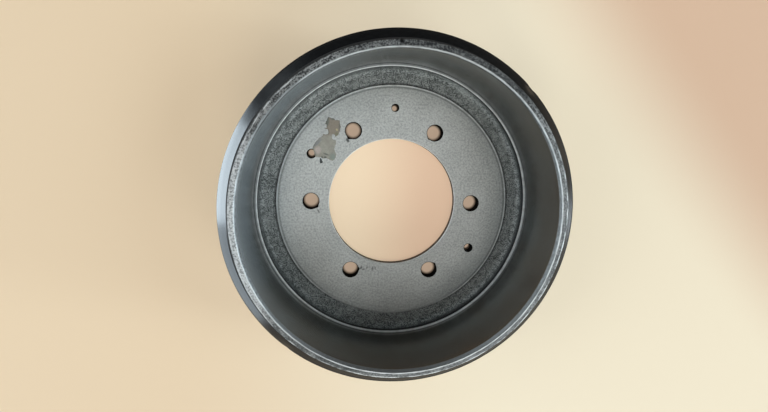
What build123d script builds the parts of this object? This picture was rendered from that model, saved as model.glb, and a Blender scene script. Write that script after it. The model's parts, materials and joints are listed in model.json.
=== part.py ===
from build123d import *
import os
from math import radians, tan

# Brake drum: one grey-iron casting, turned on its track, its faces, its bore and its rim.
#
# Millimetres. The drum's axis is Z. Z = 0 is the machined face that the wheel seats on, and +Z runs
# to the open end. Angles are measured about Z from +X.

# ---------------------------------------------------------------- driving dimensions

# Track: the turned cylinder that the shoes rub on
track_dia = 232.0
track_width = 57.6
ledge_width = 2.2            # narrow turned ledge where the track ends, beside the web
ledge_rise = 7.3             # ledge above the web's hub face

# Web: the disc that is clamped between the hub and the wheel
web_thickness = 8.0
pilot_dia = 109.3            # bore that centres the drum on the hub
pilot_lead = 2.5             # lead-in chamfer on the wheel side
hub_face_proud = 1.0         # machined pad inside the drum, above the cast trough around it
trough_width = 13.6          # cast trough, from that pad out to the ledge
trough_root = 2.8            # cast root between the trough and the ledge's wall
wheel_face_proud = 0.5       # machined pad under the wheel, above the cast end face around it
wheel_face_inset = 4.2       # that pad is narrower than the hub face, all round

# Rim: the turned open end
rim_flare = 1.5              # entry chamfer, measured across the rim
rim_flare_depth = 2.2        # entry chamfer, measured along the axis
rim_land_width = 4.2         # flat end face of the rim
rim_step_depth = 5.4         # turned outside step, from the rim down to the cast belt
rim_step_root = 1.6          # bevel at the foot of that step

# Outside: cast wall, stiffened by a belt below the rim
wall_thickness = 9.6         # behind the track, just under the belt
wall_draft = 1.5             # degrees, narrowing to the closed end
closed_corner_radius = 13.0
belt_overhang = 10.0         # belt beyond the rim's turned step
belt_slope = 32.2            # degrees that the belt's upper shoulder falls away outwards
belt_height = 19.0           # belt's outer face, down from the parting line
belt_under_slope = 58.0      # degrees that the lower shoulder falls back to the wall
belt_edge_break = 0.8        # bevel on the belt's outermost edge, at the parting line
belt_root_radius = 5.0

# Stud holes
stud_count = 6
stud_circle_dia = 139.7
stud_hole_dia = 13.5
stud_hole_chamfer = 0.5

# Holes between the studs, all on one circle
service_circle_dia = 161.2
jacking_core_dia = 6.8       # tapping size of M8
jacking_mouth_dia = 8.2
jacking_angles = (150.0, -30.0)
locating_hole_dia = 6.2
locating_hole_chamfer = 0.3
locating_hole_angle = 90.0

edge_break = 0.4             # chamfer on turned outside corners

# ---------------------------------------------------------------- derived radii and heights

track_r = track_dia / 2
ledge_r = track_r - ledge_width
pilot_r = pilot_dia / 2
hub_face_r = ledge_r - trough_width
wheel_face_r = hub_face_r - wheel_face_inset
rim_inner_r = track_r + rim_flare
rim_outer_r = rim_inner_r + rim_land_width
belt_r = rim_outer_r + belt_overhang
wall_r = track_r + wall_thickness

hub_face_z = web_thickness
trough_z = hub_face_z - hub_face_proud
ledge_z = hub_face_z + ledge_rise
flare_z = ledge_z + track_width
rim_z = flare_z + rim_flare_depth
rim_step_z = rim_z - rim_step_depth
parting_z = rim_step_z - belt_overhang * tan(radians(belt_slope))
belt_low_z = parting_z - belt_height
belt_low_r = belt_r - belt_height * tan(radians(wall_draft))
wall_top_z = belt_low_z - (belt_low_r - wall_r) * tan(radians(belt_under_slope))
wall_foot_r = wall_r - (wall_top_z - wheel_face_proud) * tan(radians(wall_draft))


# ---------------------------------------------------------------- section

def corner(section, r, z):
    """The section's vertex at radius r and height z."""
    return section.vertices().sort_by_distance((r, z))[0]


def drum_section():
    """Half section of the drum, from the pilot bore out along the closed end and back down the track."""
    outline = [
        (pilot_r, pilot_lead),
        (pilot_r + pilot_lead, 0),
        (wheel_face_r, 0),
        (wheel_face_r, wheel_face_proud),
        (wall_foot_r, wheel_face_proud),
        (wall_r, wall_top_z),
        (belt_low_r, belt_low_z),
        (belt_r, parting_z),
        (rim_outer_r, rim_step_z),
        (rim_outer_r, rim_z),
        (rim_inner_r, rim_z),
        (track_r, flare_z),
        (track_r, ledge_z),
        (ledge_r, ledge_z),
        (ledge_r, trough_z),
        (hub_face_r, trough_z),
        (hub_face_r, hub_face_z),
        (pilot_r, hub_face_z),
    ]
    with BuildSketch(Plane.XZ) as section:
        with BuildLine():
            Polyline(*outline, close=True)
        make_face()
        # cast corners and roots
        fillet(corner(section, wall_foot_r, wheel_face_proud), closed_corner_radius)
        fillet(corner(section, wall_r, wall_top_z), belt_root_radius)
        chamfer(corner(section, belt_r, parting_z), belt_edge_break)
        chamfer(corner(section, ledge_r, trough_z), trough_root)
        # turned corners
        chamfer(corner(section, rim_outer_r, rim_step_z), rim_step_root)
        chamfer(corner(section, rim_outer_r, rim_z), edge_break)
        chamfer(corner(section, hub_face_r, hub_face_z), edge_break)
        chamfer(corner(section, pilot_r, hub_face_z), edge_break)
    return section.sketch


# ---------------------------------------------------------------- holes

def chamfered_drill(hole_dia, mouth_dia):
    """Cutter for a hole through the web, opened out to the mouth diameter at both faces."""
    depth = (mouth_dia - hole_dia) / 2
    overrun = web_thickness
    profile = [
        (0, -overrun),
        (mouth_dia / 2, -overrun),
        (mouth_dia / 2, 0),
        (hole_dia / 2, depth),
        (hole_dia / 2, web_thickness - depth),
        (mouth_dia / 2, web_thickness),
        (mouth_dia / 2, web_thickness + overrun),
        (0, web_thickness + overrun),
    ]
    with BuildPart() as cutter:
        with BuildSketch(Plane.XZ):
            with BuildLine():
                Polyline(*profile, close=True)
            make_face()
        revolve(axis=Axis.Z)
    return cutter.part


def on_circle(circle_dia, angles):
    """Places on a bolt circle, one for each angle in degrees."""
    return [PolarLocations(circle_dia / 2, 1, angle).locations[0] for angle in angles]


def web_holes():
    """Cutters for every hole in the web apart from the pilot bore."""
    stud_angles = [360 / stud_count * index for index in range(stud_count)]
    stud = chamfered_drill(stud_hole_dia, stud_hole_dia + 2 * stud_hole_chamfer)
    jacking = chamfered_drill(jacking_core_dia, jacking_mouth_dia)
    locating = chamfered_drill(locating_hole_dia, locating_hole_dia + 2 * locating_hole_chamfer)
    cutters = [place * stud for place in on_circle(stud_circle_dia, stud_angles)]
    cutters += [place * jacking for place in on_circle(service_circle_dia, jacking_angles)]
    cutters += [place * locating for place in on_circle(service_circle_dia, [locating_hole_angle])]
    return cutters


# ---------------------------------------------------------------- drum

def brake_drum():
    """The whole casting: its section turned about the axis, then drilled."""
    with BuildPart() as drum:
        add(revolve(drum_section(), axis=Axis.Z))
        add(web_holes(), mode=Mode.SUBTRACT)
    return drum.part


os.makedirs("parts", exist_ok=True)
export_step(brake_drum(), "parts/brake_drum.step")
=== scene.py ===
import json
import math

import bpy
import bmesh
from mathutils import Euler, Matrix, Vector, geometry, noise


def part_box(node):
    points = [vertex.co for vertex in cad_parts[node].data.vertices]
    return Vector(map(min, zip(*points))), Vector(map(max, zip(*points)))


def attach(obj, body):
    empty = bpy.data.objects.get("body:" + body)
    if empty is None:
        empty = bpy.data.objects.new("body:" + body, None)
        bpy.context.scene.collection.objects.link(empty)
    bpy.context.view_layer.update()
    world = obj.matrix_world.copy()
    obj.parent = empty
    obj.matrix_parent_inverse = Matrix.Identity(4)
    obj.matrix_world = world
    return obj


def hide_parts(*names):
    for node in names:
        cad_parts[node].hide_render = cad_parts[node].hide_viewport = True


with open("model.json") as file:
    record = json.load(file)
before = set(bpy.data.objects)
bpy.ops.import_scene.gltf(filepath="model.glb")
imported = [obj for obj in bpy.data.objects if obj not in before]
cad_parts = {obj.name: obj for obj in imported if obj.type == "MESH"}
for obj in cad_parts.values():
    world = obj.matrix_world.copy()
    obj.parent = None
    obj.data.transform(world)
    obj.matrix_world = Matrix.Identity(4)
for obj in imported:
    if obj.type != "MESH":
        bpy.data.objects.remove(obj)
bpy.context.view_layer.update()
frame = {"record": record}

# Brake drum: one grey-iron casting, shown with its turned, drilled and as-cast surfaces.
# Everything is in metres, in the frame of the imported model: Z is the drum's axis, Z = 0 the wheel
# face, and +Z runs to the open end. Angles are in degrees about Z from +X.

MM = 0.001

# ---------------- sizes taken from the frame

MOUNTS = {mount["name"]: mount for mount in frame["record"]["mounts"]}
JACKING_HOLES = ("jacking_hole_left", "jacking_hole_right")

TRACK_R = MOUNTS["friction_track"]["dims"]["r_mm"] * MM
TRACK_MIDDLE_Z = MOUNTS["friction_track"]["pos_m"][2]
TRACK_WIDTH = MOUNTS["friction_track"]["dims"]["length_mm"] * MM
PILOT_R = MOUNTS["pilot_bore"]["dims"]["r_mm"] * MM
STUD_CIRCLE_R = MOUNTS["stud_holes"]["dims"]["pcd_mm"] * MM / 2
STUD_HOLE_R = MOUNTS["stud_holes"]["dims"]["hole_r_mm"] * MM
STUD_COUNT = MOUNTS["stud_holes"]["dims"]["count"]
JACKING_CORE_R = MOUNTS["jacking_hole_left"]["dims"]["r_mm"] * MM
LOCATING_R = MOUNTS["locating_hole"]["dims"]["r_mm"] * MM
HUB_Z = MOUNTS["hub_face"]["pos_m"][2]
RIM_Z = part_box("brake_drum")[1].z

# ---------------- sizes of the section

LEDGE_Z = TRACK_MIDDLE_Z - TRACK_WIDTH / 2
FLARE_Z = TRACK_MIDDLE_Z + TRACK_WIDTH / 2
LEDGE_R = TRACK_R - 2.2 * MM
HUB_FACE_R = LEDGE_R - 13.6 * MM
WHEEL_FACE_R = HUB_FACE_R - 4.2 * MM
TROUGH_Z = HUB_Z - 1.0 * MM
END_FACE_Z = 0.5 * MM
RIM_INNER_R = TRACK_R + 1.5 * MM
RIM_OUTER_R = RIM_INNER_R + 4.2 * MM
RIM_STEP_Z = RIM_Z - 5.4 * MM
BELT_OVERHANG = 10.0 * MM
BELT_SLOPE = math.radians(32.2)
BELT_HEIGHT = 19.0 * MM
BELT_UNDER_SLOPE = math.radians(58.0)
WALL_DRAFT = math.radians(1.5)
BELT_R = RIM_OUTER_R + BELT_OVERHANG
COVE_R = RIM_OUTER_R + 2.5 * MM
COVE_Z = RIM_STEP_Z - (COVE_R - RIM_OUTER_R) * math.tan(BELT_SLOPE)
WALL_R = TRACK_R + 9.6 * MM
PARTING_Z = RIM_STEP_Z - BELT_OVERHANG * math.tan(BELT_SLOPE)
BELT_LOW_Z = PARTING_Z - BELT_HEIGHT
BELT_LOW_R = BELT_R - BELT_HEIGHT * math.tan(WALL_DRAFT)
WALL_TOP_Z = BELT_LOW_Z - (BELT_LOW_R - WALL_R) * math.tan(BELT_UNDER_SLOPE)
WALL_FOOT_R = WALL_R - (WALL_TOP_Z - END_FACE_Z) * math.tan(WALL_DRAFT)

PILOT_LEAD = 2.5 * MM
BORE_EDGE = 0.4 * MM
HUB_EDGE = 1.1 * MM
STUD_CHAMFER = 0.5 * MM
LOCATING_CHAMFER = 0.3 * MM
JACKING_MOUTH_R = 4.1 * MM
THREAD_MAJOR_R = 4.0 * MM
THREAD_PITCH = 1.25 * MM
THREAD_ROOT_SHARE = 0.14
THREAD_FLANK_SHARE = 0.64
THREAD_MARGIN = 0.12 * MM
CHIP_DEPTH = 1.6 * MM
CHIP_RUN_OUT = 1.2 * MM
CHIP_FOOT_SHARE = 0.35

# ---------------- how finely the mesh is cut

COARSE_TURN = 344
FINE_TURN = 2 * COARSE_TURN
FINISH_TURNS = {True: FINE_TURN, False: COARSE_TURN}
STUD_TURN = 56
SMALL_TURN = 40
ARC_STEP = math.radians(13)
THREAD_STEPS = 44
SHARP_ANGLE = math.radians(26)

# The hub pad and the ledge sit a little off the axis in the photograph
HUB_OFFSET = Vector((1.1 * MM, -0.6 * MM, 0.0))
LEDGE_OFFSET = Vector((0.4 * MM, -0.1 * MM, 0.0))
LEDGE_OFFSET_FADE = 20.0 * MM

# Black coat on the belt
COAT = 0.12 * MM

# Finishes: cut into fine rings or not, height of the grain, and longest step along the section
FINISHES = {
    "hub_face": dict(fine=True, relief=0.0, step=2.0 * MM),
    "hub_line": dict(fine=True, relief=0.0, step=1.0 * MM),
    "bright_edge": dict(fine=True, relief=0.0, step=1.0 * MM),
    "sand_cast": dict(fine=True, relief=0.20 * MM, step=0.75 * MM),
    "crevice_shade": dict(fine=True, relief=0.05 * MM, step=0.80 * MM),
    "track": dict(fine=False, relief=0.0, step=8.0 * MM),
    "flare": dict(fine=True, relief=0.025 * MM, step=0.90 * MM),
    "rim_land": dict(fine=True, relief=0.045 * MM, step=0.75 * MM),
    "black_skin": dict(fine=False, relief=0.05 * MM, step=2.0 * MM),
    "wheel_face": dict(fine=False, relief=0.0, step=2.0 * MM),
    "bore": dict(fine=False, relief=0.0, step=4.0 * MM),
    "hole": dict(fine=False, relief=0.0, step=1.0 * MM),
}
FINISH_NAMES = list(FINISHES)

# Small damage: (angle, radius, height, reach, depth), each a dent pressed into the surface
NICK_ANGLE = 92.6
NICK_R = 118.6 * MM
DENTS = [
    (NICK_ANGLE, NICK_R + 2.0 * MM, RIM_Z, 1.1 * MM, 0.9 * MM),
    (NICK_ANGLE, NICK_R + 3.1 * MM, RIM_Z, 1.2 * MM, 1.1 * MM),
    (149.8, 117.6 * MM, RIM_Z, 1.6 * MM, 0.5 * MM),
    (151.2, 118.0 * MM, RIM_Z, 1.0 * MM, 0.4 * MM),
    (112.5, 121.4 * MM, RIM_Z, 1.0 * MM, 0.4 * MM),
    (45.5, BELT_R, PARTING_Z, 5.5 * MM, 0.55 * MM),
    (231.0, BELT_R, PARTING_Z, 4.0 * MM, 0.3 * MM),
]
DENT_INWARDS = 0.6
DENT_DOWN = 0.8

# Chips in the stud holes, by the hole's angle: (angle about the hole, width in radians, depth)
CHIPS = {
    60: (222, 0.16, 0.9 * MM),
    120: (238, 0.20, 1.1 * MM),
    180: (-42, 0.16, 0.9 * MM),
    240: (5, 0.15, 0.8 * MM),
    300: (48, 0.22, 0.8 * MM),
}

# Dried dirt and oil on the hub face: corners of their outlines, read in the photograph's pixels
STAIN_OUTLINE = [
    (328.1, 117.1), (330.2, 117.8), (332.5, 118.2), (334.3, 118.6), (335.6, 120.0), (339.4, 120.3),
    (340.0, 123.0), (340.6, 126.8), (340.0, 130.3), (338.8, 133.7), (336.0, 136.4), (334.3, 134.5),
    (332.5, 134.5), (331.8, 136.4), (332.9, 139.5), (335.6, 140.2), (336.0, 143.3), (335.0, 146.4),
    (334.4, 149.4), (335.6, 152.5), (336.2, 155.2), (335.4, 158.6), (332.5, 160.7), (329.5, 159.6),
    (326.4, 158.4), (323.0, 158.3), (319.9, 157.3), (316.8, 156.9), (314.9, 155.7), (314.1, 152.9),
    (313.2, 149.8), (312.6, 147.7), (314.4, 143.7), (316.5, 141.0), (319.9, 137.9), (322.6, 135.6),
    (323.7, 134.1), (326.8, 134.5), (328.5, 133.0), (327.9, 129.7), (325.1, 128.8), (326.8, 127.4),
    (326.4, 125.3), (325.4, 122.8), (326.8, 120.3),
]
DRIP_OUTLINE = [
    (319.9, 158.4), (320.9, 158.2), (322.8, 162.2), (321.8, 163.0), (320.1, 163.4), (319.9, 160.9),
]
STAIN_THICKNESS = 0.16 * MM
STAIN_RAGGED = 0.45 * MM
DRIP_THICKNESS = 0.10 * MM
DRIP_RAGGED = 0.15 * MM
DIRT_SPACING = 0.45 * MM
DIRT_SUNK = 0.03 * MM
PLUG_DEPTH = 2.4 * MM
PLUG_DIP = 0.5 * MM
PLUG_EDGE = 0.8 * MM
DIRT_RAMP = 1.2 * MM
DIRT_EDGE_SHARE = 0.3

# Camera, fitted to the circles of the drum in the photograph
CAMERA_PLACE = Vector((-43.834 * MM, 55.926 * MM, 357.827 * MM))
CAMERA_TURN = Euler([math.radians(angle) for angle in (-7.3733, -4.9298, 1.6633)])
FRAME_WIDTH, FRAME_HEIGHT = 768, 412
FOCAL_PIXELS = 410.6
OPTICAL_CENTRE = (378.44, 188.92)
SENSOR = 36.0


# ---------------- section of the drum

def section_corners():
    """Corners of the half section from the hub face's edge round to the wheel face's edge.

    Each is (radius, height, corner radius, finish of the run that follows)."""
    return [
        (HUB_FACE_R - HUB_EDGE, HUB_Z, 0.0, "hub_line"),
        (HUB_FACE_R, HUB_Z - 0.3 * MM, 0.0, "crevice_shade"),
        (HUB_FACE_R + 0.3 * MM, TROUGH_Z - 0.4 * MM, 0.2 * MM, "sand_cast"),
        (HUB_FACE_R + 1.5 * MM, TROUGH_Z, 0.4 * MM, "sand_cast"),
        (LEDGE_R, TROUGH_Z, 4.5 * MM, "sand_cast"),
        (LEDGE_R, TROUGH_Z + 4.7 * MM, 0.0, "crevice_shade"),
        (LEDGE_R, LEDGE_Z, 0.25 * MM, "bright_edge"),
        (TRACK_R, LEDGE_Z, 0.5 * MM, "track"),
        (TRACK_R, FLARE_Z, 0.4 * MM, "flare"),
        (RIM_INNER_R, RIM_Z, 0.35 * MM, "rim_land"),
        (RIM_OUTER_R, RIM_Z, 0.45 * MM, "rim_land"),
        (RIM_OUTER_R, RIM_STEP_Z, 0.9 * MM, "crevice_shade"),
        (COVE_R, COVE_Z, 0.4 * MM, "black_skin"),
        (BELT_R + COAT, PARTING_Z, 0.35 * MM, "black_skin"),
        (BELT_LOW_R + COAT, BELT_LOW_Z, 1.6 * MM, "black_skin"),
        (WALL_R, WALL_TOP_Z, 5.0 * MM, "black_skin"),
        (WALL_FOOT_R, END_FACE_Z, 13.0 * MM, "black_skin"),
        (WHEEL_FACE_R, END_FACE_Z, 0.2 * MM, "wheel_face"),
        (WHEEL_FACE_R, 0.0, 0.0, "wheel_face"),
    ]


def rounded_corner(before, corner, after, radius):
    """Points of the arc that rounds a corner, from one run to the next."""
    back = (before - corner).normalized()
    ahead = (after - corner).normalized()
    half = back.angle(ahead) / 2
    setback = radius / math.tan(half)
    centre = corner + (back + ahead).normalized() * (radius / math.sin(half))
    start = corner + back * setback - centre
    end = corner + ahead * setback - centre
    sweep = start.angle(end)
    steps = max(2, math.ceil(sweep / ARC_STEP))
    normal = (end - start * math.cos(sweep)).normalized() * radius
    return [
        centre + start * math.cos(sweep * i / steps) + normal * math.sin(sweep * i / steps)
        for i in range(steps + 1)
    ]


def section_profile():
    """The section cut into short steps, as (points, finish of each step)."""
    corners = section_corners()
    places = [Vector((r, z)) for r, z, _, _ in corners]
    arcs = [[places[0]]]
    for i in range(1, len(corners) - 1):
        radius = corners[i][2]
        if radius > 0:
            arcs.append(rounded_corner(places[i - 1], places[i], places[i + 1], radius))
        else:
            arcs.append([places[i]])
    arcs.append([places[-1]])

    points, finishes = [], []
    for i, arc in enumerate(arcs):
        finish_before = corners[max(i - 1, 0)][3]
        finish_after = corners[i][3]
        for k, point in enumerate(arc):
            if points:
                run = finish_before if k == 0 or k <= len(arc) // 2 else finish_after
                if k == 0:
                    steps = max(1, math.ceil((point - points[-1]).length / FINISHES[run]["step"]))
                    start = points[-1]
                    for s in range(1, steps):
                        points.append(start.lerp(point, s / steps))
                        finishes.append(run)
                finishes.append(run)
            points.append(point)
    return points, finishes


# ---------------- mesh of the drum

class Casting:
    """Vertices and faces of the drum, gathered ring by ring."""

    def __init__(self):
        self.points = []
        self.faces = []
        self.finishes = []

    def ring(self, places):
        """Adds a closed ring of points and gives their numbers."""
        first = len(self.points)
        self.points.extend(places)
        return list(range(first, len(self.points)))

    def face(self, corners, finish):
        self.faces.append(corners)
        self.finishes.append(FINISH_NAMES.index(finish))

    def bridge(self, one, two, finish):
        """Faces between two rings, one of which may have twice as many points as the other."""
        if len(one) == len(two):
            for i in range(len(one)):
                j = (i + 1) % len(one)
                self.face((one[i], one[j], two[j], two[i]), finish)
            return
        coarse, fine = sorted((one, two), key=len)
        for i in range(len(coarse)):
            j = (i + 1) % len(coarse)
            a, b, c = fine[2 * i], fine[2 * i + 1], fine[(2 * i + 2) % len(fine)]
            self.face((coarse[i], b, a), finish)
            self.face((coarse[i], coarse[j], b), finish)
            self.face((coarse[j], c, b), finish)


def circle(radius, height, count, centre=(0.0, 0.0), outline=None):
    """Points of a ring; outline(angle) adds to the radius."""
    places = []
    for i in range(count):
        angle = 2 * math.pi * i / count
        r = radius + (outline(angle) if outline else 0.0)
        x, y = centre[0] + r * math.cos(angle), centre[1] + r * math.sin(angle)
        places.append(Vector((x, y, height)))
    return places


def grain(place, finish):
    """Height of the surface's grain at a place, from about -1 to 1."""
    if finish == "sand_cast":
        return (
            0.55 * noise.noise(place / (1.5 * MM))
            + 0.35 * noise.noise(place / (3.1 * MM))
            + 0.2 * noise.noise(place / (11.0 * MM))
        )
    if finish == "black_skin":
        return 0.35 * noise.noise(place / (3.0 * MM)) + 0.9 * noise.noise(place / (13.0 * MM))
    return 0.7 * noise.noise(place / (1.4 * MM)) + 0.5 * noise.noise(place / (5.0 * MM))


def off_centre(place):
    """How far a point inside the drum lies off the axis with the hub pad and the ledge."""
    radius = math.hypot(place.x, place.y)
    if place.z < TROUGH_Z - 1.5 * MM or radius > TRACK_R + 0.2 * MM:
        return Vector((0.0, 0.0, 0.0))
    if place.z > LEDGE_Z:
        return LEDGE_OFFSET * max(0.0, 1 - (place.z - LEDGE_Z) / LEDGE_OFFSET_FADE)
    across = (radius - HUB_FACE_R - 1.5 * MM) / (LEDGE_R - HUB_FACE_R - 3.0 * MM)
    return HUB_OFFSET.lerp(LEDGE_OFFSET, min(max(across, 0.0), 1.0))


def turned_rings(casting):
    """Revolves the section, with the grain of each finish, and gives its first and last rings."""
    points, finishes = section_profile()
    rings = []
    for i, point in enumerate(points):
        before = finishes[max(i - 1, 0)]
        after = finishes[min(i, len(finishes) - 1)]
        fine = FINISHES[before]["fine"] or FINISHES[after]["fine"]
        count = FINISH_TURNS[fine]
        ring = circle(point.x, point.y, count)
        relief = min(FINISHES[before]["relief"], FINISHES[after]["relief"])
        if relief > 0:
            ahead = points[min(i + 1, len(points) - 1)] - points[max(i - 1, 0)]
            normal = Vector((-ahead.y, ahead.x)).normalized()
            for place in ring:
                outwards = Vector((place.x, place.y, 0.0)).normalized()
                offset = relief * grain(place, after)
                place += (outwards * normal.x + Vector((0.0, 0.0, normal.y))) * offset
        rings.append(casting.ring([place + off_centre(place) for place in ring]))
    for i, finish in enumerate(finishes):
        casting.bridge(rings[i], rings[i + 1], finish)
    return rings[0], rings[-1]


def pilot_bore(casting):
    """Wall of the pilot bore; gives its rings at the hub face and at the wheel face."""
    steps = [
        (PILOT_R + BORE_EDGE, HUB_Z, "bright_edge"),
        (PILOT_R, HUB_Z - BORE_EDGE, "bore"),
        (PILOT_R, (HUB_Z + PILOT_LEAD) / 2, "bore"),
        (PILOT_R, PILOT_LEAD, "bore"),
        (PILOT_R + PILOT_LEAD, 0.0, "bore"),
    ]
    rings = [casting.ring(circle(r, z, COARSE_TURN)) for r, z, _ in steps]
    for i in range(len(rings) - 1):
        casting.bridge(rings[i], rings[i + 1], steps[i][2])
    return rings[0], rings[-1]


def notch(angle, width, depth):
    """Outline of a chip in a hole's edge, at an angle in degrees."""
    middle = math.radians(angle)

    def outline(turn):
        away = (turn - middle + math.pi) % (2 * math.pi) - math.pi
        return depth * math.exp(-((away / width) ** 2))

    return outline


def plain_hole(casting, centre, radius, chamfer, count, chip=None):
    """Wall of a drilled hole; gives its outline rings at the hub face and at the wheel face."""
    chip_foot = HUB_Z - CHIP_DEPTH
    levels = [
        (HUB_Z, radius + chamfer, 1.0),
        (HUB_Z - chamfer, radius, 1.0),
        (chip_foot, radius, CHIP_FOOT_SHARE),
        (chip_foot - CHIP_RUN_OUT, radius, 0.0),
        (HUB_Z / 2 - 0.6 * MM, radius, 0.0),
        (chamfer, radius, 0.0),
        (0.0, radius + chamfer, 0.0),
    ]
    rings = []
    for height, r, share in levels:
        outline = (lambda turn: chip(turn) * share) if chip and share > 0 else None
        rings.append(casting.ring(circle(r, height, count, centre, outline)))
    for i in range(len(rings) - 1):
        casting.bridge(rings[i], rings[i + 1], "hole")
    return rings[0], rings[-1]


def thread_radius(turn, height):
    """Radius of the internal thread at an angle and a height."""
    phase = (height / THREAD_PITCH - turn / (2 * math.pi)) % 1.0
    flank = abs(phase - 0.5) * 2
    rise = min(1.0, max(0.0, (flank - THREAD_ROOT_SHARE) / THREAD_FLANK_SHARE))
    return JACKING_CORE_R + (THREAD_MAJOR_R - JACKING_CORE_R) * rise


def threaded_hole(casting, centre):
    """Wall of an M8 jacking hole with its helical thread; gives its rings at both faces."""
    rings = [casting.ring(circle(JACKING_MOUTH_R, HUB_Z, SMALL_TURN, centre))]
    for i in range(THREAD_STEPS + 1):
        height = HUB_Z - THREAD_MARGIN - (HUB_Z - 2 * THREAD_MARGIN) * i / THREAD_STEPS
        mouth = JACKING_MOUTH_R - min(HUB_Z - height, height)

        def outline(turn):
            return max(thread_radius(turn, height), mouth)

        rings.append(casting.ring(circle(0.0, height, SMALL_TURN, centre, outline)))
    rings.append(casting.ring(circle(JACKING_MOUTH_R, 0.0, SMALL_TURN, centre)))
    for i in range(len(rings) - 1):
        casting.bridge(rings[i], rings[i + 1], "hole")
    return rings[0], rings[-1]


def inside_outline(place, outline):
    """Whether a point lies inside a closed outline of points, seen along Z."""
    inside = False
    last = outline[-1]
    for point in outline:
        if (point.y > place.y) != (last.y > place.y):
            cross = (last.x - point.x) * (place.y - point.y) / (last.y - point.y) + point.x
            if place.x < cross:
                inside = not inside
        last = point
    return inside


def pierced_face(casting, outer, inner, holes, finish):
    """Flat face between two rings, cut round the outlines of its holes."""
    loops = [outer, inner] + holes
    numbers = [number for loop in loops for number in loop]
    places = [casting.points[number].to_2d() for number in numbers]
    edges, first = [], 0
    for loop in loops:
        edges += [(first + i, first + (i + 1) % len(loop)) for i in range(len(loop))]
        first += len(loop)
    made = geometry.delaunay_2d_cdt(places, edges, [], 0, 1e-9)
    spots, triangles, origins = made[0], made[2], made[3]
    inner_r = places[len(outer)].length
    hole_rings = []
    for loop in holes:
        outline = [casting.points[number] for number in loop]
        middle = sum(outline, Vector()) / len(outline)
        reach = max((point - middle).length for point in outline)
        hole_rings.append((middle.to_2d(), reach, outline))
    for triangle in triangles:
        centre = sum((spots[corner] for corner in triangle), Vector((0.0, 0.0))) / 3
        if centre.length < inner_r:
            continue
        if any(
            (centre - middle).length < reach and inside_outline(centre, outline)
            for middle, reach, outline in hole_rings
        ):
            continue
        casting.face(tuple(numbers[origins[corner][0]] for corner in triangle), finish)


def on_circle(radius, angle):
    return radius * math.cos(math.radians(angle)), radius * math.sin(math.radians(angle))


def web_holes(casting):
    """All holes of the web but the pilot bore; gives their outlines at the two faces."""
    walls = []
    for index in range(STUD_COUNT):
        angle = 360 // STUD_COUNT * index
        centre = on_circle(STUD_CIRCLE_R, angle)
        chip = notch(*CHIPS[angle]) if angle in CHIPS else None
        walls.append(plain_hole(casting, centre, STUD_HOLE_R, STUD_CHAMFER, STUD_TURN, chip))
    for name in JACKING_HOLES:
        walls.append(threaded_hole(casting, MOUNTS[name]["pos_m"][:2]))
    centre = MOUNTS["locating_hole"]["pos_m"][:2]
    walls.append(plain_hole(casting, centre, LOCATING_R, LOCATING_CHAMFER, SMALL_TURN))
    return [top for top, _ in walls], [foot for _, foot in walls]


def press_dents(casting):
    """Pushes each dent into the points that it reaches."""
    for angle, radius, height, reach, depth in DENTS:
        x, y = on_circle(radius, angle)
        middle = Vector((x, y, height))
        inwards = -Vector((x, y, 0.0)).normalized() * DENT_INWARDS - Vector((0.0, 0.0, DENT_DOWN))
        for place in casting.points:
            if abs(place.x - x) < reach and abs(place.y - y) < reach:
                away = (place - middle).length / reach
                if away < 1.0:
                    place += inwards * depth * (1 - away * away) ** 2


def add_object(name, data):
    """An object of the scene that shows the data."""
    made = bpy.data.objects.new(name, data)
    bpy.context.scene.collection.objects.link(made)
    return made


def closed_mesh(name, points, faces, materials, slots):
    """A smooth closed mesh whose faces look outwards; slots gives each face's material."""
    mesh = bpy.data.meshes.new(name)
    mesh.from_pydata([tuple(point) for point in points], [], faces)
    for material in materials:
        mesh.materials.append(material)
    mesh.polygons.foreach_set("material_index", slots)
    work = bmesh.new()
    work.from_mesh(mesh)
    bmesh.ops.recalc_face_normals(work, faces=work.faces)
    work.to_mesh(mesh)
    work.free()
    mesh.polygons.foreach_set("use_smooth", [True] * len(mesh.polygons))
    mesh.update()
    return add_object(name, mesh)


def build_casting(materials):
    """The whole drum as one closed mesh."""
    casting = Casting()
    hub_edge, wheel_edge = turned_rings(casting)
    bore_top, bore_foot = pilot_bore(casting)
    tops, feet = web_holes(casting)
    pierced_face(casting, hub_edge, bore_top, tops, "hub_face")
    pierced_face(casting, wheel_edge, bore_foot, feet, "wheel_face")
    press_dents(casting)

    skins = [materials[name] for name in FINISH_NAMES]
    drum = closed_mesh("brake_drum_casting", casting.points, casting.faces, skins, casting.finishes)
    drum.data.set_sharp_from_angle(angle=SHARP_ANGLE)
    return drum


# ---------------- dried dirt

def on_hub_face(pixel_x, pixel_y):
    """Place on the hub face that the camera sees at a pixel of the photograph."""
    sight = Vector((pixel_x - OPTICAL_CENTRE[0], OPTICAL_CENTRE[1] - pixel_y, -FOCAL_PIXELS))
    sight.rotate(CAMERA_TURN)
    return (CAMERA_PLACE + sight * ((HUB_Z - CAMERA_PLACE.z) / sight.z)).to_2d()


def smooth_outline(places):
    """Closed curve through the places, as points about a dirt spacing apart."""
    count = len(places)
    curve = []
    for i in range(count):
        a, b, c, d = (places[(i + k) % count] for k in (-1, 0, 1, 2))
        steps = max(1, round((c - b).length / DIRT_SPACING))
        for k in range(steps):
            t = k / steps
            bend = (2 * a - 5 * b + 4 * c - d) * t * t + (3 * b - a - 3 * c + d) * t**3
            curve.append(0.5 * (2 * b + (c - a) * t + bend))
    return curve


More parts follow.
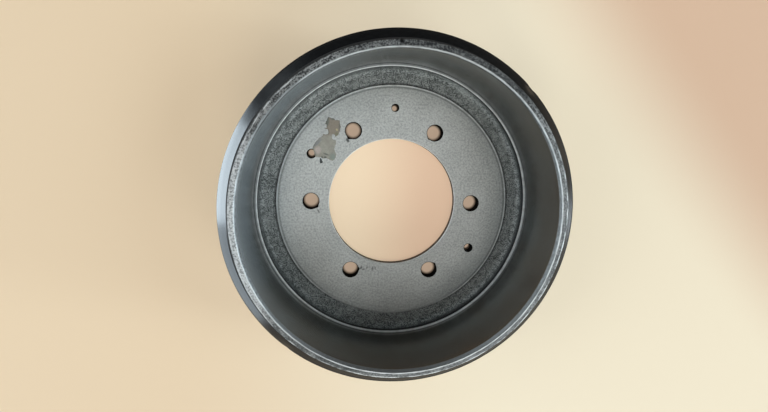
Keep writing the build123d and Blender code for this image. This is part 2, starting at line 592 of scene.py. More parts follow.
def ragged_outline(curve, reach):
    """The curve with its line broken up, as the edge of dried dirt is."""
    count = len(curve)
    broken = []
    for i in range(count):
        along = (curve[(i + 1) % count] - curve[i - 1]).normalized()
        spot = curve[i].to_3d()
        shift = noise.noise(spot / (1.1 * MM)) + 0.7 * noise.noise(spot / (0.5 * MM))
        broken.append(curve[i] + Vector((along.y, -along.x)) * reach * shift)
    return broken


def dirt_film(name, pixels, thickness, ragged, material):
    """Thin crust on the hub face, which also packs the part of the jacking hole that it covers."""
    corners = [on_hub_face(*pixel) for pixel in pixels]
    edge = ragged_outline(smooth_outline(corners), ragged)
    lines = [(i, (i + 1) % len(edge)) for i in range(len(edge))]
    low_x, high_x = min(spot.x for spot in edge), max(spot.x for spot in edge)
    low_y, high_y = min(spot.y for spot in edge), max(spot.y for spot in edge)
    inner = []
    for i in range(int((high_x - low_x) / DIRT_SPACING)):
        for k in range(int((high_y - low_y) / DIRT_SPACING)):
            spot = Vector((low_x + (i + 0.5 * (k % 2)) * DIRT_SPACING, low_y + k * DIRT_SPACING))
            nearest = min((spot - other).length for other in edge)
            if nearest > 0.7 * DIRT_SPACING and inside_outline(spot, edge):
                inner.append((spot, nearest))
    spots = edge + [spot for spot, _ in inner]
    depth_in = [0.0] * len(edge) + [nearest for _, nearest in inner]
    made = geometry.delaunay_2d_cdt(spots, lines, [list(range(len(edge)))], 1, 1e-9)
    flat, triangles, origins = made[0], made[2], made[3]

    hole = Vector(MOUNTS["jacking_hole_left"]["pos_m"][:2])
    tops, feet = [], []
    for spot, origin in zip(flat, origins):
        away = (spot - hole).length
        packed = min(1.0, max(0.0, (JACKING_MOUTH_R - away) / PLUG_EDGE))
        rise = min(1.0, DIRT_EDGE_SHARE + depth_in[origin[0]] / DIRT_RAMP) * thickness
        place = spot.to_3d()
        rough = 0.5 * noise.noise(place / (1.3 * MM)) + 0.3 * noise.noise(place / (0.6 * MM))
        top = HUB_Z + rise * (1 + rough) - packed * PLUG_DIP
        tops.append(Vector((spot.x, spot.y, top)))
        feet.append(Vector((spot.x, spot.y, HUB_Z - DIRT_SUNK - packed * PLUG_DEPTH)))
    count = len(flat)
    faces = [tuple(triangle) for triangle in triangles]
    faces += [tuple(corner + count for corner in reversed(triangle)) for triangle in triangles]
    faces += [(i, k, k + count, i + count) for i, k in lines]
    return closed_mesh(name, tops + feet, faces, [material], [0] * len(faces))


# ---------------- shader nodes

# Distance from the axis at which the marks of ring_coordinates have their full length
MARK_RADIUS = 100 * MM


class Nodes:
    """A node tree, with short calls for the nodes used here."""

    def __init__(self, tree):
        self.tree = tree

    def node(self, kind, inputs=None, **settings):
        """Adds a node; each of its inputs is a value or another node's output."""
        made = self.tree.nodes.new(kind)
        for name, value in settings.items():
            setattr(made, name, value)
        for name, value in (inputs or {}).items():
            if isinstance(value, bpy.types.NodeSocket):
                self.tree.links.new(value, made.inputs[name])
            else:
                made.inputs[name].default_value = value
        return made

    def math(self, operation, *values):
        inputs = dict(enumerate(values))
        return self.node("ShaderNodeMath", inputs, operation=operation).outputs[0]

    def chain(self, operation, values):
        """The operation carried through the values, from the first to the last."""
        total = values[0]
        for value in values[1:]:
            total = self.math(operation, total, value)
        return total

    def product(self, *values):
        return self.chain("MULTIPLY", values)

    def most(self, values):
        """The greatest of several values."""
        return self.chain("MAXIMUM", values)

    def blend(self, *parts):
        """Sum of values, each given as (value, share)."""
        return self.chain("ADD", [self.product(*part) for part in parts])

    def length(self, across, up):
        return self.math("SQRT", self.blend((across, across), (up, up)))

    def step(self, value, low, high, start=0.0, end=1.0):
        """Smooth step from start, where value is low, to end, where it is high."""
        inputs = {0: value, 1: low, 2: high, 3: start, 4: end}
        return self.node("ShaderNodeMapRange", inputs, interpolation_type="SMOOTHSTEP").outputs[0]

    def fade(self, share, start, end):
        """Start where share is 0 and end where it is 1."""
        return self.step(share, 0.0, 1.0, start, end)

    def band(self, value, middle, half_width, soft):
        """1 where a value is within half_width of the middle, fading over soft."""
        away = self.math("ABSOLUTE", self.math("SUBTRACT", value, middle))
        return self.step(away, half_width, half_width + soft, 1.0, 0.0)

    def mix(self, share, one, two):
        """Colour one where share is 0 and colour two where it is 1."""
        inputs = {0: share, 6: one, 7: two}
        return self.node("ShaderNodeMix", inputs, data_type="RGBA", clamp_factor=True).outputs[2]

    def tint(self, colour, other, *shares):
        """The colour, turned towards another by the product of the shares."""
        return self.mix(self.product(*shares), colour, other)

    def rays(self, *kinds):
        """1 for rays of the kinds named and 0 for the rest."""
        path = self.node("ShaderNodeLightPath").outputs
        return self.most([path[f"Is {kind} Ray"] for kind in kinds])


class Shader(Nodes):
    """The node tree of a material on the drum, whose places are the drum's own."""

    def __init__(self, name):
        self.material = bpy.data.materials.new(name)
        self.material.use_nodes = True
        super().__init__(self.material.node_tree)
        self.tree.nodes.clear()
        self.place = self.node("ShaderNodeTexCoord").outputs["Object"]
        parts = self.node("ShaderNodeSeparateXYZ", {"Vector": self.place}).outputs
        self.x, self.y, self.z = parts["X"], parts["Y"], parts["Z"]

    def radius(self):
        return self.length(self.x, self.y)

    def radius_about(self, offset):
        """Distance from an axis that is offset from the drum's."""
        x = self.math("SUBTRACT", self.x, offset.x)
        y = self.math("SUBTRACT", self.y, offset.y)
        return self.length(x, y)

    def turn(self):
        return self.math("ARCTAN2", self.y, self.x)

    def noise(self, size, detail=3.0, roughness=0.55, vector=None):
        """Noise from 0 to 1 whose features measure about size."""
        inputs = {
            "Vector": vector or self.place,
            "Scale": 1.0 / size,
            "Detail": detail,
            "Roughness": roughness,
        }
        return self.node("ShaderNodeTexNoise", inputs).outputs[0]

    def pits(self, size):
        """Distance to the nearest of scattered points about size apart, in sizes."""
        inputs = {"Vector": self.place, "Scale": 1.0 / size}
        return self.node("ShaderNodeTexVoronoi", inputs, feature="F1").outputs["Distance"]

    def ring_coordinates(self, across, along):
        """A vector for marks that follow the turning: fine across them, long along them."""
        r = self.math("ADD", self.radius(), self.z)
        spin = self.node("ShaderNodeVectorMath", {0: self.place}, operation="NORMALIZE").outputs[0]
        unit = self.node("ShaderNodeSeparateXYZ", {"Vector": spin}).outputs
        reach = MARK_RADIUS / along
        inputs = {
            "X": self.product(unit["X"], reach),
            "Y": self.product(unit["Y"], reach),
            "Z": self.product(r, 1.0 / across),
        }
        return self.node("ShaderNodeCombineXYZ", inputs).outputs[0]

    def along(self, angle):
        """Distance from the drum's axis, measured towards an angle."""
        c, s = math.cos(math.radians(angle)), math.sin(math.radians(angle))
        return self.blend((self.x, c), (self.y, s))

    def sector(self, middle, half_width, soft, outside=0.0):
        """1 within half_width degrees of an angle and 0 outside, soft degrees further; or the reverse."""
        away = self.math("SUBTRACT", self.turn(), math.radians(middle))
        away = self.math("ABSOLUTE", self.math("WRAP", away, math.pi, -math.pi))
        limits = (math.radians(half_width), math.radians(half_width + soft))
        return self.step(away, *limits, 1.0 - outside, outside)

    def patch(self, x, y, long, short, turn=0.0, soft=0.35, ragged=0.0):
        """1 inside an ellipse on the drum (millimetres and degrees), fading out at its edge."""
        across = self.math("SUBTRACT", self.x, x * MM)
        up = self.math("SUBTRACT", self.y, y * MM)
        c, s = math.cos(math.radians(turn)), math.sin(math.radians(turn))
        u = self.blend((across, c / long / MM), (up, s / long / MM))
        v = self.blend((across, -s / short / MM), (up, c / short / MM))
        away = self.length(u, v)
        if ragged:
            wander = self.math("SUBTRACT", self.noise(1.4 * MM, 3.0, 0.6), 0.5)
            away = self.math("ADD", away, self.product(wander, 2 * ragged))
        return self.step(away, 1 - soft, 1 + soft, 1.0, 0.0)

    def bump(self, height, distance, strength=1.0):
        inputs = {"Height": height, "Distance": distance, "Strength": strength}
        return self.node("ShaderNodeBump", inputs).outputs[0]

    def finish(self, **inputs):
        """Ends the tree in one Principled surface and gives the material."""
        named = {name.replace("_", " "): value for name, value in inputs.items()}
        surface = self.node("ShaderNodeBsdfPrincipled", named)
        output = self.node("ShaderNodeOutputMaterial")
        self.tree.links.new(surface.outputs[0], output.inputs["Surface"])
        return self.material


def rgb(red, green, blue):
    """A colour from its values in the image, 0 to 255."""
    shares = [value / 255 for value in (red, green, blue)]
    linear = [c / 12.92 if c <= 10 / 255 else ((c + 0.055) / 1.055) ** 2.4 for c in shares]
    return (*linear, 1.0)


# ---------------- finishes of the drum

# Parts of the drum's round, each (middle, half width, fade) in degrees
FRONT = (268, 22, 25)
SHADED = (345, 50, 30)
LIT = (183, 36, 24)

# Pale grey of painted highlights on the rim, and black of its smears and of painted shade
HIGHLIGHT_GREY = rgb(190, 193, 192)
SMEAR_AND_SHADE_BLACK = rgb(26, 27, 28)

# Dark scuffs on the hub face: (x, y, half length, half width, turn, how dark)
SCUFFS = [
    (-25.7, -58.8, 1.5, 0.9, 60, 0.75),
    (-23.6, -60.2, 1.3, 0.6, 10, 0.65),
    (-20.4, -58.7, 1.3, 0.7, 70, 0.55),
    (-15.6, -59.5, 1.9, 0.7, 75, 0.60),
    (-13.4, -58.8, 1.6, 0.6, 110, 0.45),
    (-39.6, 52.4, 2.0, 1.2, -55, 0.85),
    (-63.6, -8.4, 1.9, 0.7, -60, 0.60),
]


def turned_face(name, scuffed):
    """Flat face, turned: fine rings, faint clouding, painted shade in a ring near the hub face's edge on
    the front side and, on the hub side, dark scuffs.
    """
    s = Shader(name)
    rings = s.noise(1.0, 2.0, 0.6, s.ring_coordinates(0.35 * MM, 24 * MM))
    clouds = s.noise(16 * MM, 4.0, 0.55)
    fine = s.noise(1.6 * MM, 3.0, 0.6)
    tone = s.blend((clouds, 0.15), (fine, 0.6), (rings, 0.25))
    colour = s.mix(s.step(tone, 0.36, 0.64), rgb(149, 153, 151), rgb(184, 188, 186))
    # Painted shade: a darker ring just inside the hub face's edge, on the front side only.
    edge_shade = s.band(s.radius_about(HUB_OFFSET), HUB_FACE_R - 2.0 * MM, 0.35 * MM, 0.7 * MM)
    colour = s.tint(colour, rgb(96, 100, 99), edge_shade, s.sector(*FRONT, 1.0), 0.55)
    if scuffed:
        marks = [
            s.product(s.patch(x, y, long, short, turn, 0.5, 0.5), dark)
            for x, y, long, short, turn, dark in SCUFFS
        ]
        colour = s.mix(s.most(marks), colour, rgb(44, 46, 48))
    roughness = s.step(tone, 0.3, 0.7, 0.54, 0.47)
    height = s.blend((rings, 0.6), (fine, 0.4))
    normal = s.bump(height, 0.012 * MM)
    return s.finish(Base_Color=colour, Metallic=0.75, Roughness=roughness, Normal=normal)


def bright_iron(name, pale, dull, ledge=False):
    """Narrow turned edges, with painted shade on the front and the left, and the ledge, with painted shade
    in its outer corner.
    """
    s = Shader(name)
    rings = s.noise(1.0, 2.0, 0.6, s.ring_coordinates(0.3 * MM, 16 * MM))
    mottle = s.noise(5 * MM, 3.0)
    colour = s.mix(s.step(mottle, 0.35, 0.7), pale, dull)
    if ledge:
        # Painted shade: the ledge is darkened in its outer corner, at the foot of the track.
        away = s.radius_about(LEDGE_OFFSET)
        away = s.math("MULTIPLY_ADD", s.along(130), 0.45 * MM / LEDGE_R, away)
        outer = s.step(away, LEDGE_R + 0.8 * MM, LEDGE_R + 1.7 * MM)
        colour = s.tint(colour, rgb(62, 64, 64), outer, 0.8)
    else:
        # Painted shade: darker on the front side and, less, on the left, where the edge catches less
        # light.
        colour = s.tint(colour, rgb(120, 124, 123), s.sector(*FRONT), 0.7)
        colour = s.tint(colour, rgb(150, 154, 152), s.sector(180, 35, 25), 0.5)
    normal = s.bump(rings, 0.01 * MM)
    return s.finish(Base_Color=colour, Metallic=0.8, Roughness=0.55, Normal=normal)


def sand_cast_iron():
    """Trough and step as cast: sandy, dull and dark, with paler tops on the grains and painted shade in
    its corners.
    """
    s = Shader("sand_cast_iron")
    grains = s.pits(1.3 * MM)
    fine = s.noise(1.0 * MM, 3.0, 0.6)
    blotches = s.noise(3.2 * MM, 2.0, 0.5)
    broad = s.noise(12 * MM, 2.0, 0.5)
    height = s.blend((grains, -0.7), (fine, 0.8))
    tone = s.blend((fine, 0.68), (blotches, 0.22), (broad, 0.10))
    colour = s.mix(s.step(tone, 0.40, 0.61), rgb(53, 57, 55), rgb(142, 146, 143))
    # Painted shade: darker at the foot of the hub pad's step on the front, at the root of the ledge's step
    # on the left and up the step wall on the shaded side.
    foot = s.band(s.radius_about(HUB_OFFSET), HUB_FACE_R + 1.0 * MM, 0.4 * MM, 0.9 * MM)
    foot = s.product(foot, s.sector(*FRONT, 1.0))
    root = s.product(s.step(s.radius(), LEDGE_R - 3.5 * MM, LEDGE_R - 0.8 * MM), s.sector(155, 65, 30))
    wall = s.product(s.step(s.z, TROUGH_Z + 1.0 * MM, TROUGH_Z + 3.6 * MM), s.sector(*SHADED))
    painted_shade = [s.product(foot, 0.60), s.product(root, 0.6), s.product(wall, 0.75)]
    colour = s.mix(s.most(painted_shade), colour, rgb(36, 38, 37))
    normal = s.bump(height, 0.28 * MM, 0.8)
    return s.finish(Base_Color=colour, Metallic=0.25, Roughness=0.72, Normal=normal)


def crevice_shade():
    """Corners and step walls of the casting: dark iron, with painted shade that turns them near black at
    the rim's cove and on the shaded side.
    """
    s = Shader("crevice_shade")
    fine = s.noise(1.2 * MM, 3.0, 0.6)
    colour = s.mix(s.step(fine, 0.4, 0.75), rgb(32, 33, 32), rgb(62, 64, 62))
    # Painted shade: near black outside the rim's step and on the shaded side.
    outside = s.step(s.radius(), RIM_OUTER_R - 1.0 * MM, RIM_OUTER_R)
    blackest = s.most([outside, s.sector(*SHADED)])
    colour = s.tint(colour, rgb(7, 7, 8), blackest, 0.85)
    return s.finish(Base_Color=colour, Metallic=0.0, Roughness=0.85, Normal=s.bump(fine, 0.15 * MM))


def track_iron():
    """Friction track: finely bored, dark and smooth, with faint brown clouding, a painted bluish sheen on
    the left and painted shade on the right and at its foot.
    """
    s = Shader("track_iron")
    rings = s.noise(1.0, 2.0, 0.6, s.ring_coordinates(0.4 * MM, 60 * MM))
    clouds = s.noise(30 * MM, 3.0, 0.5)
    colour = s.mix(s.step(clouds, 0.35, 0.65), rgb(126, 128, 126), rgb(121, 118, 112))
    # Painted sheen: paler and bluish up the left side, standing for a reflection.
    painted_sheen = s.product(s.step(s.z, LEDGE_Z + 4 * MM, LEDGE_Z + 30 * MM), s.sector(160, 28, 42))
    colour = s.tint(colour, rgb(166, 176, 184), painted_sheen, 0.8)
    # Painted shade: darker and browner up the right and front of the track.
    brown_shade = s.product(s.step(s.z, LEDGE_Z + 16 * MM, LEDGE_Z + 44 * MM), s.sector(330, 70, 35))
    colour = s.tint(colour, rgb(102, 97, 89), brown_shade, 0.75)
    # Painted shade: darker at the foot of the track, just above the ledge.
    foot = s.product(s.step(s.z, LEDGE_Z + 1 * MM, LEDGE_Z + 19 * MM, 1.0, 0.0), s.sector(115, 70, 30))
    low_band = s.product(s.band(s.z, LEDGE_Z + 2.8 * MM, 1.3 * MM, 2.2 * MM), s.sector(5, 45, 25))
    colour = s.tint(colour, rgb(60, 61, 60), s.most([foot, low_band]), 0.88)
    normal = s.bump(rings, 0.004 * MM)
    return s.finish(Base_Color=colour, Metallic=0.95, Roughness=0.26, Normal=normal)


# Smears round the rim's land: (middle, half width, fade, how dark), angles in degrees
RIM_SMEARS = [
    (68.0, 20.0, 14.0, 0.80),
    (84.0, 3.0, 4.0, 0.60),
    (248.0, 5.0, 6.0, 0.75),
    (150.0, 1.0, 1.6, 0.90),
    (156.5, 2.5, 3.0, 0.50),
    (232.0, 3.0, 4.0, 0.35),
    (104.0, 6.0, 6.0, 0.35),
]


def rim_iron(name, pale, dark, smeared):
    """Turned rim, speckled by handling, with painted highlights and painted shade that vary round the rim;
    smeared is how far the dark smears show.
    """
    s = Shader(name)
    specks = s.noise(1.3 * MM, 3.0, 0.6)
    smear = s.noise(1.0, 3.0, 0.6, s.ring_coordinates(1.2 * MM, 6 * MM))
    tone = s.blend((specks, 0.6), (smear, 0.4))
    contrast = s.math("MULTIPLY_ADD", s.sector(300, 75, 30), -0.45, 1.0)
    light = s.math("SUBTRACT", s.step(tone, 0.42, 0.59), 0.5)
    colour = s.mix(s.math("MULTIPLY_ADD", light, contrast, 0.5), dark, pale)
    smears = [
        s.product(s.sector(middle, half_width, fade), share * smeared)
        for middle, half_width, fade, share in RIM_SMEARS
    ]
    patchy = s.step(s.noise(2.4 * MM, 3.0, 0.6), 0.30, 0.62, 1.0, 0.55)
    colour = s.tint(colour, SMEAR_AND_SHADE_BLACK, s.most(smears), patchy)
    # Painted highlight: pale specks brighten the land on the left, where it catches the light.
    mottle = s.product(s.sector(184, 22, 16), s.step(specks, 0.30, 0.60, 0.35, 1.0))
    colour = s.tint(colour, rgb(222, 226, 227), mottle, 0.45 * smeared)
    flare = s.step(s.z, RIM_Z - 0.5 * MM, RIM_Z - 0.1 * MM, 1.0, 0.0)
    flare = s.product(flare, s.step(s.radius(), RIM_INNER_R, RIM_INNER_R + 1.0 * MM, 1.0, 0.0))
    # Painted shade on the flare: darker on the left and at the top.
    flare_shade = s.most([s.sector(165, 26, 34), s.product(s.sector(70, 25, 25), 0.45)])
    flare_shade = s.product(flare, flare_shade)
    colour = s.tint(colour, rgb(24, 25, 25), flare_shade, 0.62)
    # Painted highlight on the flare: paler on the front.
    colour = s.tint(colour, HIGHLIGHT_GREY, flare, s.sector(270, 34, 30), 0.18)
    # Painted highlights: bright lines along the rim's inner and outer edges, standing for glints on the
    # corners.
    away = s.math("MULTIPLY_ADD", s.along(290), -0.65 * MM / RIM_INNER_R, s.radius())
    inner_edge_glint = s.band(away, RIM_INNER_R - 0.05 * MM, 0.15 * MM, 0.50 * MM)
    inner_edge_glint = s.product(inner_edge_glint, s.step(smear, 0.38, 0.60, 0.55, 0.95))
    inner_edge_glint = s.product(inner_edge_glint, s.fade(s.sector(165, 22, 30), 1.0, 0.35))
    away = s.math("MULTIPLY_ADD", s.along(300), -0.35 * MM / RIM_OUTER_R, s.radius())
    outer_edge_glint = s.band(away, RIM_OUTER_R - 0.8 * MM, 0.10 * MM, 0.45 * MM)
    outer_edge_glint = s.product(outer_edge_glint, s.step(smear, 0.42, 0.60, 0.0, 0.80), s.sector(75, 35, 25, 1.0))
    colour = s.mix(s.most([inner_edge_glint, outer_edge_glint]), colour, HIGHLIGHT_GREY)
    # Painted shade: a dark line along the outer brink on the left.
    brink = s.step(s.radius(), RIM_OUTER_R - 0.55 * MM, RIM_OUTER_R - 0.15 * MM)
    colour = s.tint(colour, SMEAR_AND_SHADE_BLACK, brink, s.sector(165, 60, 25), 0.7)
    nick = s.product(s.step(s.radius(), NICK_R, NICK_R + 0.8 * MM), s.sector(NICK_ANGLE, 0.35, 0.5))
    colour = s.mix(nick, colour, rgb(8, 8, 9))
    roughness = s.step(tone, 0.35, 0.7, 0.62, 0.50)
    normal = s.bump(tone, 0.08 * MM, 0.6)
    return s.finish(Base_Color=colour, Metallic=0.8, Roughness=roughness, Normal=normal)


def black_skin():
    """Outside as cast, under thin gloss black."""
    s = Shader("black_skin")
    orange_peel = s.noise(2.4 * MM, 3.0, 0.6)
    fine = s.noise(0.8 * MM, 2.0, 0.5)
    colour = s.mix(s.step(orange_peel, 0.35, 0.7), rgb(8, 9, 10), rgb(17, 18, 19))
    height = s.blend((orange_peel, 0.7), (fine, 0.3))
    normal = s.bump(height, 0.025 * MM, 0.8)
    lit = s.sector(*LIT)
    brink = s.step(s.radius(), BELT_R - 1.8 * MM, BELT_R - 0.8 * MM)
    cove = s.step(s.radius(), COVE_R + 0.5 * MM, COVE_R + 1.3 * MM, 1.0, 0.0)
    cove = s.product(cove, s.sector(215, 20, 16))
    dull = s.most([s.product(brink, s.sector(*LIT, 1.0)), cove])
    gloss = s.product(s.fade(dull, 0.60, 0.10), s.fade(lit, 0.58, 1.0))
    gloss = s.product(gloss, s.fade(s.sector(355, 14, 18), 1.0, 0.45))
    gloss = s.product(gloss, s.step(s.radius(), BELT_R - 4 * MM, BELT_R - 2 * MM, 1.0, 1.15))
    roughness = s.fade(dull, 0.19, 0.55)
    return s.finish(Base_Color=colour, Roughness=roughness, Specular_IOR_Level=gloss, Normal=normal)


def hole_iron():
    """Walls of the small holes: black with dry dirt."""
    s = Shader("hole_iron")
    patches = s.noise(3 * MM, 3.0)
    colour = s.mix(s.step(patches, 0.35, 0.7), rgb(12, 11, 10), rgb(24, 21, 18))
    return s.finish(Base_Color=colour, Metallic=0.0, Roughness=0.95, Specular_IOR_Level=0.03)


def bore_iron():
    """Wall of the bore: cut metal gone dark."""
    s = Shader("bore_iron")
    rings = s.noise(1.0, 2.0, 0.6, s.ring_coordinates(0.4 * MM, 30 * MM))
    patches = s.noise(4 * MM, 3.0)
    colour = s.mix(s.step(patches, 0.35, 0.7), rgb(84, 77, 68), rgb(34, 29, 24))
    normal = s.bump(rings, 0.02 * MM)
    return s.finish(Base_Color=colour, Metallic=0.6, Roughness=0.55, Normal=normal)


def dried_dirt():
    """Thin grey-brown crust: darker and greener at the top left, browner in the upper half."""
    s = Shader("dried_dirt")
    specks = s.noise(1.2 * MM, 4.0, 0.65)
    broad = s.noise(5 * MM, 3.0, 0.5)
    colour = s.mix(s.step(broad, 0.35, 0.65), rgb(146, 144, 133), rgb(134, 131, 121))
    upper = s.step(s.y, 54 * MM, 58 * MM)
    colour = s.mix(upper, colour, rgb(126, 118, 106))
    tints = [
        (-57.0, 67.0, 4.6, 1.5, 80, rgb(88, 92, 86)),
        (-52.2, 69.8, 2.0, 1.0, 0, rgb(92, 94, 88)),
        (-46.6, 63.5, 3.6, 0.8, 90, rgb(100, 98, 92)),
        (-48.9, 60.8, 0.9, 0.9, 0, rgb(176, 164, 128)),
        (-48.9, 57.2, 1.4, 1.6, 0, rgb(112, 110, 90)),
        (-64.5, 43.5, 2.6, 3.0, 0, rgb(168, 156, 148)),
        (-65.0, 49.5, 4.4, 1.2, 45, rgb(118, 120, 120)),
        (-52.0, 38.2, 2.6, 2.8, 0, rgb(122, 130, 122)),
        (-60.9, 37.5, 0.8, 0.8, 0, rgb(70, 74, 70)),
        (-58.2, 37.5, 1.1, 0.8, 0, rgb(70, 74, 70)),
        (-57.6, 40.2, 2.2, 0.7, -20, rgb(96, 98, 92)),
    ]
    for x, y, long, short, turn, tint in tints:
        share = s.product(s.patch(x, y, long, short, turn, 0.55, 0.5), 0.85)
        colour = s.mix(share, colour, tint)
    colour = s.tint(colour, rgb(88, 88, 80), s.step(specks, 0.5, 0.72), 0.35)
    normal = s.bump(specks, 0.12 * MM, 0.7)
    return s.finish(Base_Color=colour, Metallic=0.0, Roughness=0.85, Specular_IOR_Level=0.3, Normal=normal)


def oil_drip():
    """Black drip of old oil below the dirt."""
    s = Shader("oil_drip")
    fine = s.noise(0.8 * MM, 2.0, 0.5)
    colour = s.mix(fine, rgb(28, 32, 32), rgb(54, 58, 58))
    return s.finish(Base_Color=colour, Roughness=0.5, Normal=s.bump(fine, 0.05 * MM))


def drum_materials():
    return {
        "hub_face": turned_face("turned_hub_face", True),
        "hub_line": bright_iron("hub_line_iron", rgb(232, 236, 235), rgb(196, 200, 198)),
        "bright_edge": bright_iron("bright_edge_iron", rgb(220, 224, 223), rgb(196, 200, 199), True),
        "sand_cast": sand_cast_iron(),
        "crevice_shade": crevice_shade(),
        "track": track_iron(),
        "flare": rim_iron("rim_flare_iron", rgb(102, 104, 103), rgb(70, 71, 70), 0.35),
        "rim_land": rim_iron("rim_land_iron", rgb(130, 132, 131), rgb(46, 47, 47), 1.0),
        "black_skin": black_skin(),
        "wheel_face": turned_face("turned_wheel_face", False),
        "bore": bore_iron(),
        "hole": hole_iron(),
    }


# ---------------- floor, light and camera

# CARD_LEFT and CARD_RIGHT paint light across the card, darker to the left and paler to the right; CARD_FAR
# is a darker, pinker far corner
CARD_LEFT = rgb(226, 203, 171)
CARD_RIGHT = rgb(240, 227, 200)
CARD_FAR = rgb(214, 182, 154)
# Painted light and shade under the drum: the card in the bore is drawn brighter, a little over white on
# the left; under the web it is painted shade with painted lit spots under the holes
CARD_BORE_LEFT = rgb(266, 241, 206)
CARD_BORE_RIGHT = rgb(252, 216, 184)
CARD_HOLES = rgb(225, 198, 172)
CARD_SHADE = rgb(70, 58, 48)
CARD_GLOW = 0.46
CARD_SHARE = 0.40
CARD_NEAR = 0.42
CARD_END = 0.85
BACKGROUND = rgb(236, 220, 194)
FLOOR_HALF = 6.0
FLOOR_GAP = 0.05 * MM
ROOM = (0.076, 0.078, 0.080, 1.0)
BACKDROP_FOOT = 0.0
BACKDROP_TOP = 0.05


CARD_LEFT_X, CARD_RIGHT_X = -0.20, 0.13
CARD_FAR_LEAN = 0.9
CARD_FAR_FROM, CARD_FAR_TO = 0.24, 0.40
CARD_BORE_HALF = 0.04
CARD_BORE_FADE = 4 * MM
CARD_UNDER_R = STUD_CIRCLE_R + 20 * MM
CARD_UNDER_FADE = 15 * MM

# Painted lit spot on the floor under each hole: (shift along X, shift along Y, radius), in millimetres
UNDER_STUD_HOLE = (-0.1, 0.3, 5.8)
UNDER_JACKING_HOLE = (-0.2, 0.7, 2.7)
UNDER_LOCATING_HOLE = (0.0, 0.0, 2.1)


def painted_light_in_holes():
    """Where light is painted on the floor under each hole of the web, as (x, y, radius) in millimetres."""
    holes = [
        (on_circle(STUD_CIRCLE_R, 360 / STUD_COUNT * index), UNDER_STUD_HOLE)
        for index in range(STUD_COUNT)
    ]
    holes += [(MOUNTS[name]["pos_m"][:2], UNDER_JACKING_HOLE) for name in JACKING_HOLES]
    holes.append((MOUNTS["locating_hole"]["pos_m"][:2], UNDER_LOCATING_HOLE))
    return [(x / MM + east, y / MM + north, reach) for (x, y), (east, north, reach) in holes]


def floor_card():
    """Pale card, darker to the left and paler to the right as painted light, darker and pinker in the far
    corner, painted bright under the bore and with painted lit spots and painted shade under the web's
    holes; it has an even light of its own in the picture.

    Away from the drum it turns into the plain background."""
    s = Shader("floor_card")
    # Painted light: darker to the left and paler to the right; darker and pinker in the far corner.
    colour = s.mix(s.step(s.x, CARD_LEFT_X, CARD_RIGHT_X), CARD_LEFT, CARD_RIGHT)
    far = s.math("MULTIPLY_ADD", s.y, CARD_FAR_LEAN, s.x)
    colour = s.mix(s.step(far, CARD_FAR_FROM, CARD_FAR_TO), colour, CARD_FAR)
    # Painted light and shade under the drum: bright in the bore, painted lit spots under the holes,
    # painted shade between them.
    across_bore = s.step(s.x, -CARD_BORE_HALF, CARD_BORE_HALF)
    in_bore = s.mix(across_bore, CARD_BORE_LEFT, CARD_BORE_RIGHT)
    painted_lit_spots = [s.patch(x, y, reach, reach, 0, 0.24) for x, y, reach in painted_light_in_holes()]
    in_holes = s.mix(s.most(painted_lit_spots), CARD_SHADE, CARD_HOLES)
    under = s.mix(s.step(s.radius(), PILOT_R, PILOT_R + CARD_BORE_FADE), in_bore, in_holes)
    covered = s.step(s.radius(), CARD_UNDER_R, CARD_UNDER_R + CARD_UNDER_FADE, 1.0, 0.0)
    colour = s.mix(covered, colour, under)
    lit = s.mix(CARD_SHARE, rgb(0, 0, 0), colour)
    away = s.step(s.radius(), CARD_NEAR, CARD_END)
    seen = s.rays("Camera", "Glossy", "Transmission")
    inputs = {
        "Base_Color": s.mix(away, lit, rgb(0, 0, 0)),
        "Roughness": 0.9,
        "Specular_IOR_Level": s.fade(away, 0.2, 0.0),
        "Emission_Color": s.mix(away, colour, BACKGROUND),
        "Emission_Strength": s.product(seen, s.fade(away, CARD_GLOW, 1.0)),
    }
    return s.finish(**inputs)


def floor():
    mesh = bpy.data.meshes.new("floor")
    signs = [(-1, -1), (1, -1), (1, 1), (-1, 1)]
    corners = [(x * FLOOR_HALF, y * FLOOR_HALF, 0) for x, y in signs]
    mesh.from_pydata(corners, [], [(0, 1, 2, 3)])
    mesh.materials.append(floor_card())
    made = add_object("floor", mesh)
    made.location.z = -FLOOR_GAP


# Soft lamps far away: (name, azimuth, elevation, strength, spread, colour). Their strengths and colours
# were rounded from a fit to the brightness of the photograph and then changed.
LAMPS = [
    ("low_right", 350, 8, 2.90, 12, (0.88, 1.02, 1.12)),
    ("right", 0, 30, 1.28, 24, (0.90, 1.04, 1.12)),
    ("right_front", 315, 30, 1.38, 24, (0.94, 1.00, 1.06)),
    ("front", 270, 30, 1.42, 24, (1.00, 1.02, 0.98)),
    ("left_front", 225, 30, 0.36, 24, (0.84, 1.02, 1.16)),
    ("left", 180, 30, 0.90, 24, (0.98, 0.99, 1.03)),
    ("left_back", 135, 30, 0.42, 24, (0.90, 1.02, 1.10)),
    ("high_right", 335, 62, 0.20, 24, (1.05, 0.99, 0.96)),
    ("top_back", 30, 76, 0.10, 24, (1.15, 1.00, 0.85)),
    ("top_left", 210, 76, 0.24, 24, (1.14, 1.00, 0.86)),
    ("top_front", 300, 76, 0.10, 24, (1.02, 1.02, 0.96)),
    ("top", 0, 90, 0.12, 24, (0.85, 1.00, 1.15)),
]

# Pale windows on the left, well away: (name, azimuth, width, power)
WINDOWS = [
    ("long_window", 190, 4.3, 37.0),
    ("bright_window", 175, 1.7, 30.0),
]
WINDOW_DISTANCE = 2.5
WINDOW_HEIGHT = 0.77
WINDOW_CENTRE = 0.5
WINDOW_COLOUR = (0.84, 0.98, 1.08)


def towards(azimuth, elevation):
    a, e = math.radians(azimuth), math.radians(elevation)
    return Vector((math.cos(a) * math.cos(e), math.sin(a) * math.cos(e), math.sin(e)))


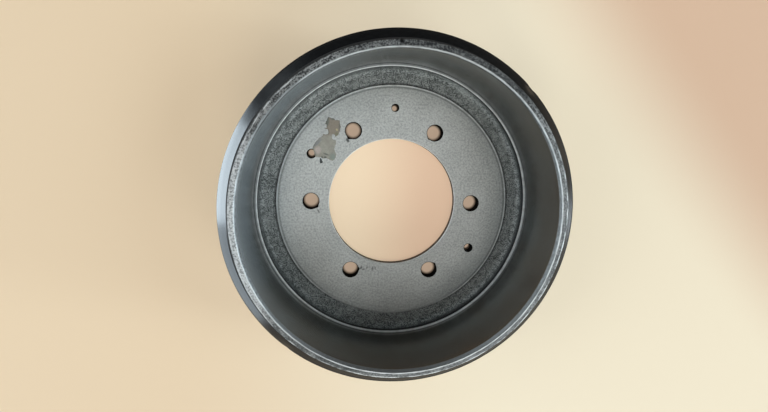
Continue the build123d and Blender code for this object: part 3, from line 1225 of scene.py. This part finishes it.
def far_lamp(name, azimuth, elevation, strength, spread, colour):
    """Soft distant lamp that shines from a direction."""
    light = bpy.data.lights.new(name, "SUN")
    light.angle = math.radians(spread)
    light.energy = strength
    light.color = colour
    made = add_object(name, light)
    made.rotation_euler = (-towards(azimuth, elevation)).to_track_quat("-Z", "Y").to_euler()


def window(name, azimuth, width, power):
    """Pale window low on the left, which the glossy outside reflects."""
    light = bpy.data.lights.new(name, "AREA")
    light.shape = "RECTANGLE"
    light.size = width
    light.size_y = WINDOW_HEIGHT
    light.energy = power
    light.color = WINDOW_COLOUR
    made = add_object(name, light)
    made.location = towards(azimuth, 0) * WINDOW_DISTANCE + Vector((0, 0, WINDOW_CENTRE))
    made.rotation_euler = (-towards(azimuth, 0)).to_track_quat("-Z", "Y").to_euler()
    made.visible_camera = False


def surroundings(tree):
    """Dim room for light, with a pale backdrop that the camera sees and that metal mirrors low down."""
    room = Nodes(tree)
    place = room.node("ShaderNodeTexCoord").outputs["Generated"]
    height = room.node("ShaderNodeSeparateXYZ", {"Vector": place}).outputs["Z"]
    low = room.step(height, BACKDROP_FOOT, BACKDROP_TOP, 1.0, 0.0)
    mirrored = room.product(room.rays("Glossy", "Transmission"), low)
    share = room.most([room.rays("Camera"), mirrored])
    background = tree.nodes["Background"]
    background.inputs["Strength"].default_value = 1.0
    tree.links.new(room.mix(share, ROOM, BACKGROUND), background.inputs["Color"])


def studio():
    """Even pale surroundings with soft lamps all round."""
    world = bpy.data.worlds.new("studio")
    bpy.context.scene.world = world
    world.use_nodes = True
    surroundings(world.node_tree)
    for settings in LAMPS:
        far_lamp(*settings)
    for settings in WINDOWS:
        window(*settings)


def camera():
    data = bpy.data.cameras.new("camera")
    data.sensor_width = SENSOR
    data.lens = SENSOR * FOCAL_PIXELS / FRAME_WIDTH
    data.shift_x = (FRAME_WIDTH / 2 - OPTICAL_CENTRE[0]) / FRAME_WIDTH
    data.shift_y = (OPTICAL_CENTRE[1] - FRAME_HEIGHT / 2) / FRAME_WIDTH
    data.clip_start = 0.01
    data.clip_end = 50
    made = add_object("camera", data)
    made.location = CAMERA_PLACE
    made.rotation_euler = CAMERA_TURN
    bpy.context.scene.camera = made


# ---------------- scene

bpy.context.scene.view_settings.view_transform = "Standard"
camera()
floor()
studio()
drum = build_casting(drum_materials())
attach(drum, "root")
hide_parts("brake_drum")
stain = dirt_film("dried_stain", STAIN_OUTLINE, STAIN_THICKNESS, STAIN_RAGGED, dried_dirt())
drip = dirt_film("oil_drip", DRIP_OUTLINE, DRIP_THICKNESS, DRIP_RAGGED, oil_drip())
for film in (stain, drip):
    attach(film, "root")
